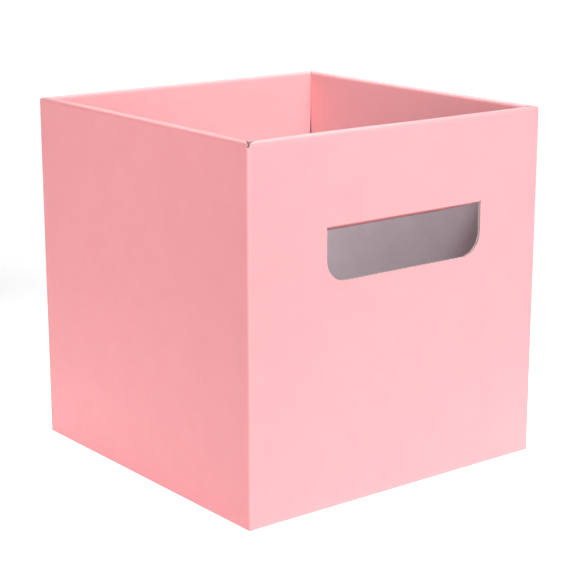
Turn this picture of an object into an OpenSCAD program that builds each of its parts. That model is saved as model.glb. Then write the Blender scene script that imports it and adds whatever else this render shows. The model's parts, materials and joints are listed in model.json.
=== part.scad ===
// Open-topped square flower box folded from one sheet of printed E-flute board.
// Each panel between two creases is its own node. The box stands on z = 0, its middle
// is on the Z axis, and its front face, with a hand hole, faces -Y.

/* [Box] */
// Outer width, depth and height of the cube
side = 190; // [170:1:240]
// Thickness of the board
board = 1.5; // [1:0.1:2]

/* [Rim] */
// Width of the strip on top of each wall, between the two top creases
rim_w = 6; // [5:0.5:10]
// Depth of each hem that hangs inside its wall
hem_depth = 38; // [30:1:38]
// How much each end of a hem tapers in towards its lower edge
hem_taper = 0.6; // [0:0.1:4]

/* [Hand hole] */
// Width of the hand hole
hole_w = 102; // [70:1:110]
// Height of the hand hole
hole_h = 28; // [22:1:32]
// Radius of its two lower corners
hole_r = 12; // [6:1:14]
// Depth of its top edge below the rim
hole_drop = 45.5; // [44:0.5:60]
// Sideways shift of the hole from the middle of the front
hole_shift = 3; // [-5:1:5]
// Angle that each hand-hole tab is pushed in through
tab_fold = 73; // [60:1:110]

/* [Base] */
// Depth of the two side flaps, measured from their walls
side_flap = 44; // [30:1:50]
// How much each end of a side flap tapers
side_flap_taper = 14; // [5:1:25]
// Width of the locking tongue
tongue_w = 60; // [40:1:64]
// Length of the locking tongue
tongue_len = 24; // [15:1:26]
// Angle that the tongue stands up at
tongue_rise = 40; // [30:1:60]
// Depth of the bay that the tongue comes up through
bay_depth = 22; // [20:1:28]

/* [Seam] */
// Width of the glue flap inside one upright corner
glue_w = 30; // [20:1:40]

/* [Hidden] */
half = side / 2;
crease_gap = 0.1;      // opening left along a crease that turns
cut_gap = 0.3;         // clearance along a die-cut edge
corner_gap = 0.5;      // opening between two rims or hems where they meet at a corner
crush_angle = 34;      // angle of the crushed board either side of the tab's crease
hole_top = side - hole_drop;
hole_bottom = hole_top - hole_h;
flap_len = half - cut_gap;                 // front and back base flaps meet in the middle
flap_half_w = half - board - cut_gap;
side_flap_z = board + cut_gap;             // the side flaps lie on the front and back flaps
side_flap_half = half - 2 * board - 1;
tongue_crush = board * tan(tongue_rise + 2);
bay_w = tongue_w + 4;
bay_r = 5;
tongue_r = 8;
glue_z = 8;
glue_top = side - hem_depth - 6;
glue_chamfer = 12;
printed = [1, 0.73, 0.75];
unprinted = [0.75, 0.73, 0.72];

// Turns a piece drawn for the front wall to the wall at this number of quarter turns.
module on_wall(quarter) {
    rotate([0, 0, 90 * quarter])
        translate([0, -half, 0])
            children();
}

// Sweeps a (y, z) profile along X, centred on X = 0.
module along_x(points, width) {
    rotate([90, 0, 90])
        linear_extrude(width, center = true)
            polygon(points);
}

// The outline of the hand hole, or of its tab when shrunk, with its top edge on y = 0.
module hole_outline(shrink) {
    w = hole_w - 2 * shrink;
    h = hole_h - shrink;
    r = hole_r - shrink;
    translate([-w / 2, -h + r])
        square([w, h - r]);
    translate([-w / 2 + r, -h])
        square([w - 2 * r, r + 1]);
    for (x = [-w / 2 + r, w / 2 - r])
        translate([x, -h + r])
            circle(r, $fn = 64);
}

// A wall mitred at its corners and along its top crease, and at its foot if a flap
// folds out from there.
module plain_wall(foot) {
    intersection() {
        linear_extrude(side)
            polygon([[-half, 0], [half, 0], [half - board, board], [board - half, board]]);
        along_x([[0, foot], [0, side - crease_gap],
            [board, side - board - crease_gap], [board, foot > 0 ? foot + board : 0]], side);
    }
}

// A wall with a hand hole; its lower lip above the hole is crushed where the tab turns.
module holed_wall(shift) {
    difference() {
        plain_wall(crease_gap);
        translate([shift, 2 * board, hole_top])
            rotate([90, 0, 0])
                linear_extrude(4 * board)
                    hole_outline(0);
        translate([shift, 0, hole_top])
            along_x([[0, -crease_gap], [2 * board, -crease_gap],
                [2 * board, 2 * board / tan(crush_angle)], [0, 0]], hole_w);
    }
}

// The strip on top of a wall, mitred to its neighbours.
module rim() {
    end = half - corner_gap / 2;
    intersection() {
        along_x([[0, side], [rim_w, side], [rim_w - board, side - board], [board, side - board]],
            side);
        linear_extrude(side + 1)
            polygon([[-end, 0], [end, 0], [end - rim_w, rim_w], [rim_w - end, rim_w]]);
    }
}

// The hem that hangs from the rim's inner crease, narrower towards its lower edge.
module hem() {
    top = half - rim_w - corner_gap;
    low = side - hem_depth;
    high = side - crease_gap;
    intersection() {
        along_x([[rim_w, high], [rim_w, low], [rim_w - board, low],
            [rim_w - board, high - board]], side);
        translate([0, 2 * rim_w, 0])
            rotate([90, 0, 0])
                linear_extrude(2 * rim_w)
                    polygon([[-top, side], [top, side], [top - hem_taper, low],
                        [hem_taper - top, low]]);
    }
}

// A hand-hole tab, pushed in about the crease along the top of its hole.
module hand_tab(shift) {
    translate([shift, 0, hole_top])
        rotate([tab_fold, 0, 0])
            intersection() {
                translate([0, 2 * board, 0])
                    rotate([90, 0, 0])
                        linear_extrude(4 * board)
                            hole_outline(cut_gap);
                along_x([[0, 0], [board, -board / tan(crush_angle)], [board, -hole_h],
                    [0, -hole_h]], hole_w);
            }
}

// The plate of a front or back base flap, mitred to the foot of its wall.
module base_plate() {
    along_x([[0, 0], [flap_len, 0], [flap_len, board], [board, board]], 2 * flap_half_w);
}

// The bay that the locking tongue comes up through, open at the flap's free edge.
module tongue_bay() {
    translate([0, flap_len - bay_depth + bay_r, -1])
        linear_extrude(board + 2) {
            translate([-bay_w / 2, 0])
                square([bay_w, bay_depth]);
            translate([bay_r - bay_w / 2, -bay_r])
                square([bay_w - 2 * bay_r, bay_r + 1]);
            for (x = [bay_r - bay_w / 2, bay_w / 2 - bay_r])
                translate([x, 0])
                    circle(bay_r, $fn = 48);
        }
}

// The front base flap, with the bay.
module bayed_base_flap() {
    difference() {
        base_plate();
        tongue_bay();
    }
}

// The tongue, bent up at the free edge of the back base flap.
module tongue() {
    translate([0, flap_len, 0])
        rotate([tongue_rise, 0, 0])
            intersection() {
                along_x([[0, 0], [tongue_len, 0], [tongue_len, board], [tongue_crush, board]],
                    tongue_w);
                translate([0, 0, -1])
                    linear_extrude(board + 2) {
                        translate([-tongue_w / 2, -1])
                            square([tongue_w, tongue_len - tongue_r + 1]);
                        translate([tongue_r - tongue_w / 2, 0])
                            square([tongue_w - 2 * tongue_r, tongue_len]);
                        for (x = [tongue_r - tongue_w / 2, tongue_w / 2 - tongue_r])
                            translate([x, tongue_len - tongue_r])
                                circle(tongue_r, $fn = 48);
                    }
            }
}

// A side base flap, which lies on the front and back flaps.
module side_base_flap() {
    end = side_flap_half - side_flap_taper;
    start = board + cut_gap;
    translate([0, 0, side_flap_z])
        linear_extrude(board)
            polygon([[-side_flap_half, start], [side_flap_half, start], [end, side_flap],
                [-end, side_flap]]);
}

// The glue flap on the end of the left wall, stuck to the inside of the back wall.
module glue_flap() {
    translate([-half + board, half - board, 0])
        rotate([90, 0, 0])
            linear_extrude(board)
                polygon([[0, glue_z], [glue_w, glue_z + glue_chamfer],
                    [glue_w, glue_top - glue_chamfer], [0, glue_top]]);
}

color(printed) on_wall(0) holed_wall(hole_shift);  // front_wall
color(printed) on_wall(1) plain_wall(0);  // right_wall
color(printed) on_wall(2) holed_wall(0);  // back_wall
color(printed) on_wall(3) plain_wall(0);  // left_wall
color(unprinted) glue_flap();
color(printed) on_wall(0) rim();  // front_rim
color(printed) on_wall(1) rim();  // right_rim
color(printed) on_wall(2) rim();  // back_rim
color(printed) on_wall(3) rim();  // left_rim
color(printed) on_wall(0) hem();  // front_hem
color(printed) on_wall(1) hem();  // right_hem
color(printed) on_wall(2) hem();  // back_hem
color(printed) on_wall(3) hem();  // left_hem
color(printed) on_wall(0) hand_tab(hole_shift);  // front_hand_tab
color(printed) on_wall(2) hand_tab(0);  // back_hand_tab
color(printed) on_wall(0) bayed_base_flap();  // base_front_flap
color(printed) on_wall(2) base_plate();  // base_back_flap
color(printed) on_wall(2) tongue();  // base_tongue
color(printed) on_wall(1) side_base_flap();  // base_right_flap
color(printed) on_wall(3) side_base_flap();  // base_left_flap
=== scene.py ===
"""A pink flower box folded from printed E-flute board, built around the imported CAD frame."""
import json
import math

import bpy
import numpy as np
from mathutils import Matrix, Vector


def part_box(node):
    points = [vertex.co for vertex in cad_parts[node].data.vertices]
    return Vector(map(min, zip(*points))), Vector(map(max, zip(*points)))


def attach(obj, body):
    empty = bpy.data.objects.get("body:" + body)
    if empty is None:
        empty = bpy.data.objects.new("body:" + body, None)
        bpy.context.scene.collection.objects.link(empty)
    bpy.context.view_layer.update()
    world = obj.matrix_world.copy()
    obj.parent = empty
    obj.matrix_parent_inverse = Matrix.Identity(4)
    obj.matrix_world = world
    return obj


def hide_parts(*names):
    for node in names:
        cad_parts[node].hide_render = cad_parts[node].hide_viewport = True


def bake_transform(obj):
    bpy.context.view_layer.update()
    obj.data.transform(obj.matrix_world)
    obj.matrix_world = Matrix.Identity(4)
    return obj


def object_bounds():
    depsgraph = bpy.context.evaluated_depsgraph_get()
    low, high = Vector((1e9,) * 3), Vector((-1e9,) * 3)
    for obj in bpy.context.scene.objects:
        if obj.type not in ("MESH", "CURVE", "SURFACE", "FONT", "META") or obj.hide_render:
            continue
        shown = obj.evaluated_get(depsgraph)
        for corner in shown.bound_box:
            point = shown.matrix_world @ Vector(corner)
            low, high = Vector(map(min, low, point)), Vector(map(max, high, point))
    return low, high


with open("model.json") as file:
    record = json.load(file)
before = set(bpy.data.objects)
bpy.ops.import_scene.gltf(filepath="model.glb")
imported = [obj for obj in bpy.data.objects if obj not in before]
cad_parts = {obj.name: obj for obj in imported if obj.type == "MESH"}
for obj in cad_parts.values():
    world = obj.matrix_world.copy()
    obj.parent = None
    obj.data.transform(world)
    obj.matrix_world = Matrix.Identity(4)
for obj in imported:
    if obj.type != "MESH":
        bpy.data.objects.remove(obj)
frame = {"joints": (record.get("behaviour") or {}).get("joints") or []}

MM = 0.001

# ---- Sizes from the frame, in metres ----
CAD_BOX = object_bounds()
LOW, HIGH = CAD_BOX
HALF = (HIGH[0] - LOW[0]) / 2
TOP = HIGH[2]
rim_low, rim_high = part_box("front_rim")
BOARD = rim_high[2] - rim_low[2]
RIM_W = rim_high[1] - rim_low[1]
HEM_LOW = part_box("front_hem")[0][2]
FLAP_HALF_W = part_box("base_back_flap")[1][0]
FLAP_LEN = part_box("base_front_flap")[1][1] + HALF
SIDE_FLAP_LOW, SIDE_FLAP_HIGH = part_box("base_left_flap")
TONGUE_HALF_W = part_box("base_tongue")[1][0]
GLUE_LOW, GLUE_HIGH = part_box("glue_flap")
JOINTS = {j["name"]: j for j in frame["joints"]}
HOLE_TOP = JOINTS["front_hand_tab_swing"]["pos_m"][2]

# ---- Sizes that the frame doesn't give directly ----
CUT_GAP = 0.3 * MM              # clearance along a die-cut edge
CORNER_GAP = 0.3 * MM           # between two rims where they meet
HEM_TAPER = 0.6 * MM            # each end of a hem narrows by this much towards its lower edge
HOLE_H = 28 * MM
HOLE_R = 12 * MM                # of its lower corners
TAB_LEN = HOLE_H - CUT_GAP
TAB_REST = -math.asin((HOLE_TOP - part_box("front_hand_tab")[0][2]) / TAB_LEN)    # its slope inwards
TAB_DROOP, TAB_TWIST = 0.033, 0.006     # and a little more, not quite evenly
TONGUE_LEN = 24 * MM
TONGUE_R = 8 * MM
TONGUE_RISE = math.radians(40)  # how far it bends up from its flap
BAY_DEPTH = 22 * MM
BAY_R = 5 * MM
SIDE_FLAP_TAPER = 14 * MM
GLUE_CHAMFER = 12 * MM
FLOOR_HALF = 30.0
WORST_NICK, NICK = 2.4 * MM, 0.2 * MM   # of the rims at the near corner, and at the others
NICKED_ALONG = 0.25             # how much of a nick runs along the whole mitre

# ---- The board ----
LINER = 0.25 * MM               # thickness of each flat liner
MEDIUM = 0.15 * MM              # thickness of the fluted sheet
FLUTE_PITCH = 3.2 * MM
CORNER_R = 1.7 * MM             # outer radius of the upright creases
FOOT_R = 1.7 * MM               # outer radius of the creases at the foot
TOP_WEAR_AND_HIGHLIGHT = {"front": 0.45, "right": 0.4, "back": 0.4, "left": 0.1}     # how pale each rim top is painted: partly crease wear, partly a painted highlight along the rim
TAB_R = 1.3 * MM                # outer radius of the hand tab's crease
FLAT = 0.8 * MM                 # flat margin before a crease, so that its shading runs on smoothly
CORNER_DROP = 1.9 * MM          # how far below the top the upright creases end
CORNER_FOOT = 0.4 * MM          # how far above the floor they end
SEAM = 0.3 * MM                 # flat margin between a rim's sheet and its hem's
HEM_PAINTED_LIGHT = 0.22                 # how much paler the hems are painted: painted light, lifting the shade inside the box

QUARTER = {"front": 0, "right": 1, "back": 2, "left": 3}
# Outer radius of each wall's top crease: the front one is the softest.
TOP_R = {"front": 2.8 * MM, "right": 2.2 * MM, "back": 2.0 * MM, "left": 2.0 * MM}
INNER_R = 1.7 * MM              # outer radius of the crease between rim and hem


# ---- Profiles ----

class Profile:
    """A path in (y, z) of straight runs with rounded corners, which the board's printed face
    follows. side is +1 if the board lies to the right of the path, -1 if to the left."""

    def __init__(self, points, radii, side):
        self.runs, self.side = [], side
        points = [np.array(p, float) for p in points]
        start, s = points[0], 0.0
        for i in range(1, len(points)):
            d = points[i] - points[i - 1]
            d = d / np.linalg.norm(d)
            if i == len(points) - 1:
                s = self._line(start, points[i], s)
                break
            e = points[i + 1] - points[i]
            e = e / np.linalg.norm(e)
            turn = math.atan2(d[0] * e[1] - d[1] * e[0], d @ e)
            r = radii[i - 1]
            setback = r * math.tan(abs(turn) / 2)
            s = self._line(start, points[i] - d * setback, s)
            self.runs.append(("arc", s, s + r * abs(turn), points[i] - d * setback, d, r, turn))
            s += r * abs(turn)
            start = points[i] + e * setback
        self.length = s

    def _line(self, a, b, s):
        length = float(np.linalg.norm(b - a))
        self.runs.append(("line", s, s + length, a, (b - a) / max(length, 1e-12)))
        return s + length

    def arcs(self):
        """(start, end) along the path of each rounded corner."""
        return [(r[1], r[2]) for r in self.runs if r[0] == "arc"]

    def at(self, s):
        """Points and board-side normals, each of shape s.shape + (2,)."""
        s = np.asarray(s, float)
        point, normal = np.zeros(s.shape + (2,)), np.zeros(s.shape + (2,))
        for i, run in enumerate(self.runs):
            first, last = i == 0, i == len(self.runs) - 1
            here = ((s >= run[1]) | first) & ((s < run[2]) | last)
            t = (s - run[1])[here][:, None]
            if run[0] == "line":
                d = run[4]
                point[here] = run[3] + t * d
                heading = np.broadcast_to(d, t.shape[:1] + (2,))
            else:
                _, _, _, a, d, r, turn = run
                sign = math.copysign(1, turn)
                left = np.array([-d[1], d[0]]) * sign
                angle = t / r
                point[here] = a + d * r * np.sin(angle) + left * r * (1 - np.cos(angle))
                heading = d * np.cos(angle) + left * np.sin(angle)
            normal[here] = self.side * np.stack([heading[:, 1], -heading[:, 0]], -1)
        return point, normal


def smooth(t):
    """0 below 0, 1 above 1, with a soft step between."""
    t = np.clip(t, 0, 1)
    return t * t * (3 - 2 * t)


def rows(*stops):
    """Rows along a path: each stop is (place, number of steps up to it)."""
    out = [stops[0][0]]
    for place, steps in stops[1:]:
        out += list(np.linspace(out[-1], place, steps + 1)[1:])
    return np.array(out)


def arc_rows(radius, steps=9):
    """Rows over a rounded corner, evenly spaced round its arc, without the first."""
    return radius * (1 - np.cos(np.linspace(0, math.pi / 2, steps + 1)[1:]))


# ---- Small irregularities of a folded box ----

def corner_notch(wall, u):
    """How far the board is nicked at each end of a wall's inner top crease."""
    worst = {"front": -1, "left": 1}.get(wall, 0)
    return np.where(np.sign(u) == worst, WORST_NICK, NICK)


def hem_bulge(wall, u):
    """How far the hem stands off its straight line, inwards, at each place along the wall."""
    fade = 1 - smooth((np.abs(u) - 70 * MM) / (16 * MM))
    if wall == "front":
        bulge = (-0.1 - 1.3 * np.tanh((u + 8 * MM) / (22 * MM))) * MM
        return np.where(u < 0, bulge * fade, bulge)
    swell = {"left": 1.3, "right": 0.5, "back": -0.6}[wall] * MM
    return swell * np.cos(u / HALF * 1.3) * fade


def wall_bow(u, z):
    """How far a wall is pulled in at its middle."""
    return 0.5 * MM * np.cos(np.clip(u / HALF, -1, 1) * math.pi / 2) ** 2 \
        * np.sin(np.clip(z / TOP, 0, 1) * math.pi) ** 2


# ---- Building board ----

class Panel:
    """One panel of the board, laid out in u (along the wall) and s (along its profile)."""

    def __init__(self, node, wall, profile, s_rows, layout, column_steps, body=None, blend=None,
                 missing=None, thickness=None, bulge=False, rounded_corners=False, wear=None,
                 twist=None):
        self.node, self.wall, self.profile = node, wall, profile
        self.s_rows, self.layout, self.column_steps = s_rows, layout, column_steps
        self.body, self.blend, self.missing = body, blend, missing
        self.thickness = thickness or (lambda u, s: np.full(u.shape, BOARD))
        self.bulge, self.rounded_corners, self.twist = bulge, rounded_corners, twist
        self.wear = wear or (lambda u, s: np.zeros(u.shape))

    def grid(self, step):
        """u and s at each vertex, and which cells hold board. step is the widest column."""
        groups = self.column_steps(step)
        f = np.concatenate([np.linspace(i, i + 1, n + 1)[(1 if i else 0):] for i, n in enumerate(groups)])
        f, s = np.meshgrid(f, self.s_rows)
        u, s = self.layout(f, s)
        cells = np.ones((u.shape[0] - 1, u.shape[1] - 1), bool)
        if self.missing:
            mid_s = (self.s_rows[1:] + self.s_rows[:-1]) / 2
            mid_f = (f[0, 1:] + f[0, :-1]) / 2
            cells = ~self.missing(mid_f[None, :], mid_s[:, None])
        return u, s, cells

    def place(self, u, s, w):
        """Where a point of the board lies in the frame; w is its depth behind the print."""
        yz, normal = self.profile.at(s)
        x, y, z = u.copy(), yz[..., 0], yz[..., 1]
        nx, ny, nz = np.zeros_like(x), normal[..., 0], normal[..., 1]
        if self.rounded_corners:
            flat = HALF - CORNER_R
            angle = np.maximum(np.abs(u) - flat, 0) / CORNER_R
            side = np.sign(u)
            x = np.where(angle > 0, side * (flat + CORNER_R * np.sin(angle)), x)
            y = y + CORNER_R * (1 - np.cos(angle))
            nx, ny = -side * np.sin(angle) * ny, np.cos(angle) * ny
        x, y, z = x + nx * w, y + ny * w, z + nz * w
        if self.bulge:
            hang = 1 - 0.35 * np.clip((TOP - z) / (TOP - HEM_LOW), 0, 1)
            y = y + hem_bulge(self.wall, u) * smooth((y - 1.5 * MM) / (RIM_W - 3 * MM)) * hang
        if self.twist:
            z = z + self.twist(u) * np.maximum(y, 0)
        y = y + wall_bow(x, z)
        local = np.stack([x, y - HALF, z], -1)
        turn = np.array(Matrix.Rotation(QUARTER[self.wall] * math.pi / 2, 3, "Z"))
        return local @ turn.T


def solid_sheet(panel, name, step, depth, materials):
    """A closed sheet of the panel between two depths. materials are those of its printed side,
    its inner side and its cut edge."""
    u, s, cells = panel.grid(step)
    w0, w1 = depth(u, panel.thickness(u, s))
    count = u.size
    index = np.arange(count).reshape(u.shape)
    a, b = index[:-1, :-1][cells], index[:-1, 1:][cells]
    c, d = index[1:, 1:][cells], index[1:, :-1][cells]
    quads = np.stack([a, b, c, d], 1)
    faces = [quads, quads[:, ::-1] + count]
    kinds = [np.zeros(len(quads), int), np.ones(len(quads), int)]
    edges = np.concatenate([quads[:, [i, (i + 1) % 4]] for i in range(4)])
    key = np.sort(edges, 1) @ np.array([count, 1])
    _, where, times = np.unique(key, return_index=True, return_counts=True)
    rim = edges[where[times == 1]]
    faces.append(np.stack([rim[:, 1], rim[:, 0], rim[:, 0] + count, rim[:, 1] + count], 1))
    kinds.append(np.full(len(rim), 2))
    faces, kinds = np.concatenate(faces), np.concatenate(kinds)
    points = np.concatenate([panel.place(u, s, w0).reshape(-1, 3), panel.place(u, s, w1).reshape(-1, 3)])
    used, flat = np.unique(faces, return_inverse=True)
    faces = flat.reshape(faces.shape)
    if outward_volume(points[used], faces) < 0:
        faces = faces[:, ::-1]
    mesh = bpy.data.meshes.new(name)
    mesh.from_pydata(points[used].tolist(), [], faces.tolist())
    unique_materials = list(dict.fromkeys(materials))
    for m in unique_materials:
        mesh.materials.append(m)
    slots = np.array([unique_materials.index(materials[k]) for k in kinds], np.int32)
    mesh.polygons.foreach_set("material_index", slots)
    lay_out_coordinates(mesh, np.tile(u.ravel(), 2)[used], np.tile(s.ravel(), 2)[used])
    # Per-vertex paleness: real wear at the creases, plus a painted highlight on the rims and painted light on
    # the hems
    worn_and_lit = np.tile(panel.wear(u, s).ravel(), 2)[used]
    mesh.attributes.new("wear", "FLOAT", "POINT").data.foreach_set("value", worn_and_lit.astype(np.float32))
    mesh.shade_smooth()
    mesh.set_sharp_from_angle(angle=math.radians(50))
    mesh.update()
    piece = bpy.data.objects.new(name, mesh)
    bpy.context.scene.collection.objects.link(piece)
    normals = piece.modifiers.new("normals", "WEIGHTED_NORMAL")
    normals.keep_sharp = True
    return piece


def outward_volume(points, faces):
    """Signed volume of a closed mesh of quads: positive if its faces look outwards."""
    p = points[faces]
    return sum(np.einsum("ij,ij->i", p[:, 0], np.cross(p[:, i], p[:, i + 1])).sum() for i in (1, 2))


def lay_out_coordinates(mesh, u, s):
    """Stores the flat board's own coordinates, in metres, for the materials."""
    corners = np.empty(len(mesh.loops), np.int32)
    mesh.loops.foreach_get("vertex_index", corners)
    layer = mesh.uv_layers.new(name="board")
    layer.data.foreach_set("uv", np.stack([u[corners], s[corners]], 1).astype(np.float32).ravel())


def flute_depths(u, thickness):
    """Both faces of the fluted medium between the liners."""
    swing = (thickness - 2 * LINER - MEDIUM) / 2
    middle = thickness / 2 + swing * np.sin(2 * math.pi * u / FLUTE_PITCH)
    return middle - MEDIUM / 2, middle + MEDIUM / 2


def make_board(panel):
    """The three sheets of a panel: printed liner, fluted medium and back liner."""
    print_sheet = solid_sheet(panel, panel.node + "_print", 6 * MM,
                              lambda u, t: (0 * t, 0 * t + LINER), (PRINT, CORE, CORE))
    flute = solid_sheet(panel, panel.node + "_flute", FLUTE_PITCH / 6, flute_depths, (FLUTE,) * 3)
    back = solid_sheet(panel, panel.node + "_back", 6 * MM, lambda u, t: (t - LINER, t), (CORE, GREY, CORE))
    slots = {print_sheet: "printed_board", flute: "unprinted_board", back: "unprinted_board"}
    for piece, slot in slots.items():
        if panel.blend:
            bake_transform(piece)
        else:
            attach(piece, panel.body)
        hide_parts(panel.node)


# ---- Materials ----

class Nodes:
    """A short way to write a material's node tree."""

    def __init__(self, name):
        self.material = bpy.data.materials.new(name)
        self.material.use_nodes = True
        self.tree = self.material.node_tree
        self.shader = self.tree.nodes["Principled BSDF"]
        uv = self.add("ShaderNodeUVMap")
        uv.uv_map = "board"
        self.board = uv.outputs["UV"]

    def add(self, kind, **inputs):
        node = self.tree.nodes.new(kind)
        for key, value in inputs.items():
            self.set(node.inputs[key.replace("_", " ")], value)
        return node

    def set(self, socket, value):
        if isinstance(value, bpy.types.NodeSocket):
            self.tree.links.new(value, socket)
        else:
            socket.default_value = value

    def noise(self, scale, detail=3.0, stretch=(1, 1)):
        """Noise laid on the board; scale is in features per metre."""
        place = self.add("ShaderNodeMapping", Vector=self.board, Scale=(stretch[0], stretch[1], 1))
        noise = self.add("ShaderNodeTexNoise", Vector=place.outputs[0], Scale=scale, Detail=detail)
        return noise.outputs["Fac"]

    def ramp(self, value, low, high, to_low=0.0, to_high=1.0):
        node = self.add("ShaderNodeMapRange", Value=value, From_Min=low, From_Max=high,
                        To_Min=to_low, To_Max=to_high)
        return node.outputs["Result"]

    def math(self, operation, a, b=0.0):
        node = self.add("ShaderNodeMath")
        node.operation = operation
        self.set(node.inputs[0], a)
        self.set(node.inputs[1], b)
        return node.outputs[0]

    def mix(self, factor, a, b):
        node = self.add("ShaderNodeMix")
        node.data_type = "RGBA"
        self.set(node.inputs[0], factor)
        for socket, value in ((node.inputs[6], a), (node.inputs[7], b)):
            self.set(socket, value if isinstance(value, bpy.types.NodeSocket) else (*value, 1))
        return node.outputs[2]

    def wear(self):
        node = self.add("ShaderNodeAttribute")
        node.attribute_name = "wear"
        return node.outputs["Fac"]

    def bump(self, height, distance, strength=1.0, after=None):
        node = self.add("ShaderNodeBump", Height=height, Distance=distance, Strength=strength)
        if after:
            self.set(node.inputs["Normal"], after)
        return node.outputs["Normal"]

    def finish(self, colour, roughness, normal, specular=0.5):
        self.set(self.shader.inputs["Base Color"], colour)
        self.set(self.shader.inputs["Roughness"], roughness)
        self.set(self.shader.inputs["Normal"], normal)
        self.shader.inputs["Specular IOR Level"].default_value = specular
        return self.material


def washboard(n):
    """The faint ribs of the flutes telegraphing through a liner."""
    u = n.add("ShaderNodeSeparateXYZ", Vector=n.board).outputs["X"]
    return n.math("SINE", n.math("MULTIPLY", u, 2 * math.pi / FLUTE_PITCH))


def printed_material():
    """Satin pink print on a smooth white liner, lighter where a crease has cracked it, and painted paler on
    the rims (painted highlight) and hems (painted light).
    """
    n = Nodes("pink_print")
    mottle = n.noise(45, 4)
    grain = n.noise(2600, 2)
    pink = n.mix(n.ramp(mottle, 0.35, 0.65), PINK_DEEP, PINK)
    pink = n.mix(n.ramp(grain, 0.3, 0.7, 0.0, 0.10), pink, PINK_PALE)
    cracks = n.noise(900, 5, (1, 0.35))
    # Paler print where creases are worn, and also the painted highlight on the rims and painted light on the
    # hems
    worn_and_lit = n.math("MULTIPLY", n.wear(), n.ramp(cracks, 0.35, 0.65, 0.75, 1.0))
    colour = n.mix(worn_and_lit, pink, PINK_WORN_AND_LIT)
    roughness = n.ramp(n.noise(160, 4), 0.3, 0.7, 0.40, 0.52)
    fibre = n.bump(n.noise(1500, 4, (1, 0.6)), 0.00003, 0.35)
    normal = n.bump(washboard(n), 0.000012, 1.0, fibre)
    return n.finish(colour, roughness, normal)


def grey_material():
    """Unprinted recycled liner: grey, matt, with short fibres and specks."""
    n = Nodes("grey_liner")
    fibres = n.noise(1400, 4, (1, 0.22))
    cloud = n.noise(70, 4)
    specks = n.ramp(n.noise(2300, 1), 0.72, 0.78)
    colour = n.mix(n.ramp(cloud, 0.3, 0.7), GREY_DEEP, GREY_PALE)
    colour = n.mix(n.ramp(fibres, 0.35, 0.65, 0.0, 0.35), colour, GREY_FIBRE)
    colour = n.mix(n.math("MULTIPLY", specks, 0.5), colour, GREY_SPECK)
    normal = n.bump(washboard(n), 0.00003, 1.0, n.bump(fibres, 0.00005, 0.5))
    return n.finish(colour, n.ramp(cloud, 0.3, 0.7, 0.82, 0.92), normal, 0.3)


def core_material():
    """The cut or hidden face of a liner: pale, soft paper, with painted shade darkening it on the rims and
    hems.
    """
    n = Nodes("paper_core")
    layers = n.noise(3000, 3, (1, 0.2))
    colour = n.mix(layers, CORE_DEEP, CORE_PALE)
    # Painted shade: cut edges go dark where the painted rim and hem paleness is high, standing in for the
    # shadowed corner gap
    cut_edge_shade = n.math("MINIMUM", n.math("MULTIPLY", n.wear(), 2.2), 1.0)
    colour = n.mix(cut_edge_shade, colour, CORE_SHADE)
    return n.finish(colour, n.ramp(layers, 0.3, 0.7, 0.88, 0.96), n.bump(layers, 0.00004, 0.5), 0.3)


def flute_material():
    """The fluted medium: brown-grey recycled paper."""
    n = Nodes("fluted_medium")
    fibres = n.noise(1800, 4, (0.3, 1))
    colour = n.mix(fibres, FLUTE_DEEP, FLUTE_PALE)
    return n.finish(colour, n.ramp(fibres, 0.3, 0.7, 0.85, 0.95), n.bump(fibres, 0.00005, 0.5), 0.3)


PINK = (0.78, 0.282, 0.300)
PINK_DEEP = (0.77, 0.273, 0.291)
PINK_PALE = (0.82, 0.38, 0.40)
# paler pink of crease wear, also used for the painted highlight and painted light
PINK_WORN_AND_LIT = (0.88, 0.58, 0.59)
GREY_DEEP = (0.52, 0.47, 0.50)
GREY_PALE = (0.57, 0.52, 0.55)
GREY_FIBRE = (0.65, 0.60, 0.63)
GREY_SPECK = (0.36, 0.32, 0.32)
# the last is a painted shade for cut edges on the rims and hems
CORE_DEEP, CORE_PALE, CORE_SHADE = (0.52, 0.48, 0.46), (0.70, 0.66, 0.64), (0.17, 0.15, 0.15)
FLUTE_DEEP, FLUTE_PALE = (0.26, 0.20, 0.16), (0.42, 0.35, 0.29)
PRINT = printed_material()
GREY = grey_material()
CORE = core_material()
FLUTE = flute_material()


# ---- Layouts: how a grid of fractions and rows becomes an outline ----

def even(width):
    """Columns for a panel of one width."""
    return lambda step: (max(4, math.ceil(width / step)),)


def strip(half_width, centre=0.0):
    """A layout between -half_width(s) and half_width(s)."""
    def layout(f, s):
        return centre + (2 * f - 1) * half_width(s), s
    return layout


def corner_inset(along, radius):
    """How far an outline is drawn in at this distance from the end that its corner rounds."""
    near = np.clip(radius - along, 0, radius)
    return radius - np.sqrt(radius ** 2 - near ** 2)


def between(stops):
    """A layout in groups of columns, each between one stop and the next. A stop is a function of s."""
    def layout(f, s):
        at = np.stack([stop(s) for stop in stops])
        group = np.clip(f.astype(int), 0, len(stops) - 2)
        low = np.take_along_axis(at, group[None], 0)[0]
        high = np.take_along_axis(at, group[None] + 1, 0)[0]
        return low + (f - group) * (high - low), s
    return layout


# ---- Panels ----

def side_profile(wall):
    """Up the wall, over its rim and down its hem."""
    return Profile([(0, 0), (0, TOP), (RIM_W, TOP), (RIM_W, HEM_LOW)], [TOP_R[wall], INNER_R], 1)


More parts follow.
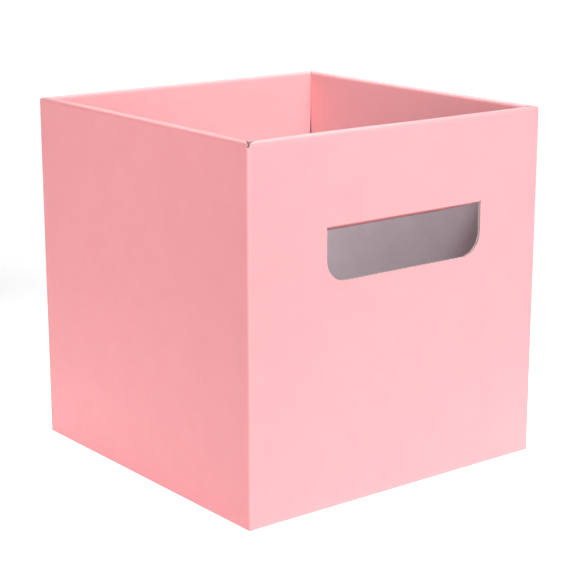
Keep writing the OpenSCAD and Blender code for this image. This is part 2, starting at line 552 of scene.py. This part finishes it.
def wall_panel(wall, hole_centre=None):
    profile = side_profile(wall)
    top = profile.arcs()[0][0] - FLAT
    edge = HALF - CORNER_R + CORNER_R * math.pi / 4
    folds_at_foot = hole_centre is not None
    foot = FOOT_R + FLAT if folds_at_foot else CORNER_FOOT

    def trim(u, s):
        """Lets the upright creases run on past the folds at the foot and at the top."""
        beyond = np.abs(u) > HALF - CORNER_R - 1e-6
        s = np.where(beyond & (s <= foot + 1e-9), CORNER_FOOT, s)
        return u, np.where(beyond & (s >= top - 1e-9), TOP - CORNER_DROP, s)

    wear = lambda u, s: 0.15 * np.maximum(1 - np.abs(np.abs(u) - edge) / (1.2 * MM), 0)
    bent = HALF - CORNER_R
    straight = bent - 0.08 * MM
    if hole_centre is None:
        s_rows = rows((foot, 0), (foot + FLAT, 1), (top - FLAT, 14), (top, 1))
        stops = [-edge, -bent, -straight, straight, bent, edge]
        layout = lambda f, s: trim(*between([lambda s, x=x: 0 * s + x for x in stops])(f, s))
        columns = lambda step: (5, 1, math.ceil(2 * HALF / step), 1, 5)
        return Panel(wall + "_wall", wall, profile, s_rows, layout, columns, body="walls",
                     rounded_corners=True, wear=wear)

    bottom, crease = HOLE_TOP - HOLE_H, HOLE_TOP + tab_setback()
    low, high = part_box(wall + "_hand_tab")
    half_w = (high[0] - low[0]) / 2 + CUT_GAP
    reach = lambda s: half_w - corner_inset(np.maximum(s - bottom, 0), HOLE_R)
    stops = [lambda s, x=x: 0 * s + x for x in (-edge, -bent, -straight)]
    stops += [lambda s: hole_centre - reach(s), lambda s: hole_centre + reach(s)]
    stops += [lambda s, x=x: 0 * s + x for x in (straight, bent, edge)]
    layout = lambda f, s: trim(*between(stops)(f, s))

    s_rows = rows((foot, 0), (foot + FLAT, 1), (bottom - 0.6 * MM, 8), (bottom, 1))
    s_rows = np.append(s_rows, bottom + arc_rows(HOLE_R))
    s_rows = np.append(s_rows, rows((bottom + HOLE_R, 0), (crease, 4), (crease + 0.6 * MM, 1),
                                    (top - FLAT, 4), (top, 1))[1:])
    columns = lambda step: (5, 1, *(math.ceil(w / step) for w in (HALF / 2, HALF, HALF / 2)), 1, 5)
    missing = lambda f, s: (f > 3) & (f < 4) & (s > bottom) & (s < crease)
    return Panel(wall + "_wall", wall, profile, s_rows, layout, columns, body="walls",
                 missing=missing, rounded_corners=True, wear=wear)


def tab_setback():
    """How far above the pivot the hand tab's crease starts to bend."""
    turn = math.pi / 2 + TAB_REST
    return TAB_R * math.tan(turn / 2)


def rim_panel(wall):
    profile = side_profile(wall)
    (bend, flat), (inner, _) = profile.arcs()
    s_rows = rows((bend - FLAT, 0), (bend, 1), (flat, 10), (inner - SEAM, 2))
    end = HALF - CORNER_GAP / 2

    def layout(f, s):
        side, y = 2 * f - 1, profile.at(s)[0][..., 0]
        notch = corner_notch(wall, side) * (NICKED_ALONG + np.exp(-(((s - inner) / (2.0 * MM)) ** 2)))
        round_corner = np.sqrt(CORNER_R ** 2 - np.maximum(CORNER_R - y, 0) ** 2)
        return side * np.minimum(HALF - CORNER_R - 0.1 * MM + round_corner, end - y - notch), s
    # Painted highlight over the rim's spine, partly crease wear: the print is made paler from the outer
    # crease across the top
    wear = lambda u, s: TOP_WEAR_AND_HIGHLIGHT[wall] * smooth((s - bend) / (flat - bend))
    start, stop = along_wall(wall, 0, TOP - TOP_R[wall]), along_wall(wall, TOP_R[wall], TOP)
    return Panel(wall + "_rim", wall, profile, s_rows, layout, even(2 * HALF),
                 blend=("walls", wall + "_rim", start, stop), bulge=True, wear=wear)


def hem_panel(wall):
    profile = side_profile(wall)
    bend, flat = profile.arcs()[1]
    s_rows = rows((bend - SEAM, 0), (bend, 1), (flat, 8), (profile.length - 0.6 * MM, 8),
                  (profile.length, 1))

    def layout(f, s):
        side = 2 * f - 1
        y = profile.at(s)[0][..., 0]
        hang = np.clip((s - bend) / (profile.length - bend), 0, 1)
        notch = corner_notch(wall, side) * np.exp(-(((s - (bend + flat) / 2) / (1.3 * MM)) ** 2))
        return side * (HALF - 0.05 * MM - y - HEM_TAPER * hang ** 4 - notch), s
    fade = lambda s: 1 - smooth((s - bend) / (flat - bend))
    # Painted light: the hems are paler all the way down, running into the rim's painted highlight at the
    # inner crease
    wear = lambda u, s: HEM_PAINTED_LIGHT + (TOP_WEAR_AND_HIGHLIGHT[wall] - HEM_PAINTED_LIGHT) * fade(s)
    start, stop = along_wall(wall, RIM_W - INNER_R, TOP), along_wall(wall, RIM_W, TOP - INNER_R)
    return Panel(wall + "_hem", wall, profile, s_rows, layout, even(2 * HALF),
                 blend=(wall + "_rim", wall + "_hem", start, stop), bulge=True, wear=wear)


def along_wall(wall, y, z):
    """A point of a wall's own (y, z) plane, in the frame."""
    turn = Matrix.Rotation(QUARTER[wall] * math.pi / 2, 3, "Z")
    return tuple(turn @ Vector((0, y - HALF, z)))


def tab_panel(wall, centre):
    tip = TAB_LEN * np.array([math.cos(TAB_REST), math.sin(TAB_REST)])
    setback = tab_setback()
    profile = Profile([(0, HOLE_TOP + setback), (0, HOLE_TOP), (tip[0], HOLE_TOP + tip[1])], [TAB_R], -1)
    bend, flat = profile.arcs()[0]
    length = profile.length
    low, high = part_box(wall + "_hand_tab")
    half_w = (high[0] - low[0]) / 2

    def half_width(s):
        return half_w - corner_inset(length - s, HOLE_R - CUT_GAP)

    def thickness(u, s):
        """The board is crushed where it turns."""
        return BOARD * (1 - 0.5 * np.exp(-(((s - (bend + flat) / 2) / (1.3 * MM)) ** 2)))
    s_rows = rows((0, 0), (flat, 10), (flat + 2 * MM, 3), (length - HOLE_R, 3))
    s_rows = np.append(s_rows, length - arc_rows(HOLE_R)[::-1])
    wear = lambda u, s: 0.1 * np.exp(-(((s - (bend + flat) / 2) / (0.9 * MM)) ** 2))
    start = along_wall(wall, 0, HOLE_TOP + setback)
    stop = along_wall(wall, setback * math.cos(TAB_REST), HOLE_TOP + setback * math.sin(TAB_REST))
    return Panel(wall + "_hand_tab", wall, profile, s_rows, strip(half_width, centre), even(2 * half_w),
                 blend=("walls", wall + "_hand_tab", start, stop), thickness=thickness, wear=wear,
                 twist=lambda u: TAB_TWIST * (u - centre) / half_w - TAB_DROOP)


def base_flap_panel(wall, bay):
    profile = Profile([(0, FOOT_R + FLAT), (0, 0), (FLAP_LEN, 0)], [FOOT_R], -1)
    bend, flat = profile.arcs()[0]
    length = profile.length
    mouth = length - BAY_DEPTH
    half_bay = TONGUE_HALF_W + 2 * MM
    reach = lambda s: half_bay - corner_inset(np.maximum(s - mouth, 0), BAY_R)
    stops = [lambda s: 0 * s - FLAP_HALF_W, lambda s: -reach(s), reach, lambda s: 0 * s + FLAP_HALF_W]
    tongue_start = length - TAB_R * math.tan(TONGUE_RISE / 2)

    def layout(f, s):
        u, s = between(stops)(f, s)
        if not bay:
            under_tongue = (np.abs(u) < TONGUE_HALF_W) & (s > length - 1e-9)
            s = np.where(under_tongue, tongue_start, s)
        return u, s
    s_rows = rows((0, 0), (FLAT, 1), (flat, 8), (mouth, 8))
    s_rows = np.append(s_rows, mouth + arc_rows(BAY_R, 6))
    s_rows = np.append(s_rows, rows((mouth + BAY_R, 0), (length, 3))[1:])
    missing = (lambda f, s: (f > 1) & (f < 2) & (s > mouth)) if bay else None
    columns = lambda step: tuple(math.ceil(w / step) for w in (FLAP_HALF_W / 2, FLAP_HALF_W, FLAP_HALF_W / 2))
    wear = lambda u, s: 0.1 * np.exp(-(((s - (bend + flat) / 2) / (1.0 * MM)) ** 2))
    start, stop = along_wall(wall, 0, FOOT_R), along_wall(wall, FOOT_R, 0)
    return Panel(f"base_{wall}_flap", wall, profile, s_rows, layout, columns,
                 blend=("walls", "base_" + wall, start, stop), missing=missing, wear=wear)


def tongue_panel():
    tip = TONGUE_LEN * np.array([math.cos(TONGUE_RISE), math.sin(TONGUE_RISE)])
    setback = TAB_R * math.tan(TONGUE_RISE / 2)
    profile = Profile([(FLAP_LEN - setback, 0), (FLAP_LEN, 0), (FLAP_LEN + tip[0], tip[1])], [TAB_R], -1)
    length = profile.length

    def half_width(s):
        return TONGUE_HALF_W - corner_inset(length - s, TONGUE_R)
    s_rows = rows((0, 0), (profile.arcs()[0][1], 5), (length - TONGUE_R, 4))
    s_rows = np.append(s_rows, length - arc_rows(TONGUE_R, 8)[::-1])
    thickness = lambda u, s: BOARD * (1 - 0.4 * np.exp(-((s / (1.5 * MM)) ** 2)))
    return Panel("base_tongue", "back", profile, s_rows, strip(half_width), even(2 * TONGUE_HALF_W),
                 body="base_back", thickness=thickness)


def side_flap_panel(wall):
    start = HALF + SIDE_FLAP_LOW[0]
    reach = SIDE_FLAP_HIGH[0] - SIDE_FLAP_LOW[0]
    level = SIDE_FLAP_LOW[2]
    profile = Profile([(start, level), (start + reach, level)], [], -1)
    root_half = SIDE_FLAP_HIGH[1]
    half_width = lambda s: root_half - SIDE_FLAP_TAPER * s / reach
    thickness = lambda u, s: BOARD * (1 - 0.45 * np.exp(-((s / (1.2 * MM)) ** 2)))
    s_rows = rows((0, 0), (3 * MM, 6), (reach, 6))
    return Panel(f"base_{wall}_flap", wall, profile, s_rows, strip(half_width), even(2 * root_half),
                 body="base_" + wall, thickness=thickness)


def glue_panel():
    depth = HALF - GLUE_HIGH[1]
    profile = Profile([(depth, 0), (depth, TOP)], [], 1)
    inner, outer = -GLUE_HIGH[0], -GLUE_LOW[0]

    def layout(f, s):
        u = inner + f * (outer - inner)
        slope = GLUE_CHAMFER * (outer - u) / (outer - inner)
        low, high = GLUE_LOW[2] + slope, GLUE_HIGH[2] - slope
        return u, low + (high - low) * (s - GLUE_LOW[2]) / (GLUE_HIGH[2] - GLUE_LOW[2])
    s_rows = rows((GLUE_LOW[2], 0), (GLUE_HIGH[2], 12))
    return Panel("glue_flap", "back", profile, s_rows, layout, even(outer - inner), body="walls")


tab_low, tab_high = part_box("front_hand_tab")
FRONT_HOLE = (tab_low[0] + tab_high[0]) / 2
panels = [wall_panel("front", FRONT_HOLE), wall_panel("right"), wall_panel("back", 0.0), wall_panel("left")]
panels += [rim_panel(w) for w in QUARTER] + [hem_panel(w) for w in QUARTER]
panels += [tab_panel("front", FRONT_HOLE), tab_panel("back", 0.0)]
panels += [base_flap_panel("front", True), base_flap_panel("back", False), tongue_panel()]
panels += [side_flap_panel("right"), side_flap_panel("left"), glue_panel()]
for panel in panels:
    make_board(panel)


# ---- Stage, light and camera ----

def make_floor():
    """A wide pale floor, softly lit from beneath round the box like a light table."""
    mesh = bpy.data.meshes.new("floor")
    corners = [(x * FLOOR_HALF, y * FLOOR_HALF, 0) for x, y in ((-1, -1), (1, -1), (1, 1), (-1, 1))]
    mesh.from_pydata(corners, [], [(0, 1, 2, 3)])
    material = bpy.data.materials.new("pale_floor")
    material.use_nodes = True
    nodes, links = material.node_tree.nodes, material.node_tree.links
    shader = nodes["Principled BSDF"]
    shader.inputs["Base Color"].default_value = (0.92, 0.92, 0.92, 1)
    shader.inputs["Roughness"].default_value = 0.9
    shader.inputs["Specular IOR Level"].default_value = 0.1
    shader.inputs["Emission Color"].default_value = (1, 1, 1, 1)
    place = nodes.new("ShaderNodeTexCoord")
    radius = nodes.new("ShaderNodeVectorMath")
    radius.operation = "LENGTH"
    glow = nodes.new("ShaderNodeMapRange")
    glow.interpolation_type = "SMOOTHSTEP"
    for name, value in (("From Min", 0.2), ("From Max", 0.42), ("To Min", 0.8), ("To Max", 0.12)):
        glow.inputs[name].default_value = value
    links.new(place.outputs["Object"], radius.inputs[0])
    links.new(radius.outputs["Value"], glow.inputs["Value"])
    links.new(glow.outputs["Result"], shader.inputs["Emission Strength"])
    mesh.materials.append(material)
    floor = bpy.data.objects.new("floor", mesh)
    bpy.context.scene.collection.objects.link(floor)


def compass(azimuth, elevation):
    """The direction out from the box; azimuth 0 is in front of it and -90 on its left."""
    az, el = math.radians(azimuth), math.radians(elevation)
    return Vector((math.sin(az) * math.cos(el), -math.cos(az) * math.cos(el), math.sin(el)))


def far_light(name, azimuth, elevation, strength):
    """A large, distant, soft light."""
    lamp = bpy.data.lights.new(name, "SUN")
    lamp.energy, lamp.angle = strength, math.radians(35)
    light = bpy.data.objects.new(name, lamp)
    light.rotation_euler = (-compass(azimuth, elevation)).to_track_quat("-Z", "Y").to_euler()
    bpy.context.scene.collection.objects.link(light)


def inside_light(watts):
    """A narrow soft beam over the near corner into the far one, clear of the outer walls."""
    lamp = bpy.data.lights.new("inside", "SPOT")
    lamp.energy, lamp.spot_size, lamp.spot_blend = watts, math.radians(17), 1.0
    lamp.shadow_soft_size = 0.15
    light = bpy.data.objects.new("inside", lamp)
    towards = compass(-45, 46)
    light.location = Vector((0.85 * HALF, 0.4 * HALF, 1.9 * HALF)) + 1.2 * towards
    light.rotation_euler = (-towards).to_track_quat("-Z", "Y").to_euler()
    bpy.context.scene.collection.objects.link(light)


def make_camera():
    """The photograph's view: a long lens, from the front left and a little above."""
    azimuth, roll = -37.80, math.radians(-0.06)
    distance, rise = 5.0 * 2 * HALF, 0.4557 * 2 * HALF
    back = compass(azimuth, 14.38)
    right = compass(azimuth + 90, 0)
    up = back.cross(right)
    data = bpy.data.cameras.new("camera")
    data.sensor_width, data.lens = 36.0, 107.2
    camera = bpy.data.objects.new("camera", data)
    turned = Matrix((right, up, back)).transposed().to_4x4() @ Matrix.Rotation(roll, 4, "Z")
    camera.matrix_world = Matrix.Translation(up * rise + back * distance) @ turned
    bpy.context.scene.collection.objects.link(camera)
    bpy.context.scene.camera = camera


def make_world():
    """An even studio: white at the horizon, dimmer overhead."""
    world = bpy.data.worlds.new("studio")
    world.use_nodes = True
    nodes, links = world.node_tree.nodes, world.node_tree.links
    direction = nodes.new("ShaderNodeTexCoord")
    height = nodes.new("ShaderNodeSeparateXYZ")
    fade = nodes.new("ShaderNodeMapRange")
    fade.interpolation_type = "SMOOTHSTEP"
    for name, value in (("From Min", 0.12), ("From Max", 0.3), ("To Min", 1.0), ("To Max", 0.1)):
        fade.inputs[name].default_value = value
    links.new(direction.outputs["Generated"], height.inputs[0])
    links.new(height.outputs["Z"], fade.inputs["Value"])
    links.new(fade.outputs["Result"], nodes["Background"].inputs["Strength"])
    nodes["Background"].inputs["Color"].default_value = (1, 1, 1, 1)
    bpy.context.scene.world = world


make_floor()
make_camera()
far_light("key", -5, 30, 2.85)
far_light("left_fill", -50, 28, 0.3)
far_light("top_fill", 0, 89, 0.3)
far_light("back_fill", 142, 40, 1.4)
inside_light(66)
make_world()
bpy.context.scene.view_settings.view_transform = "Standard"
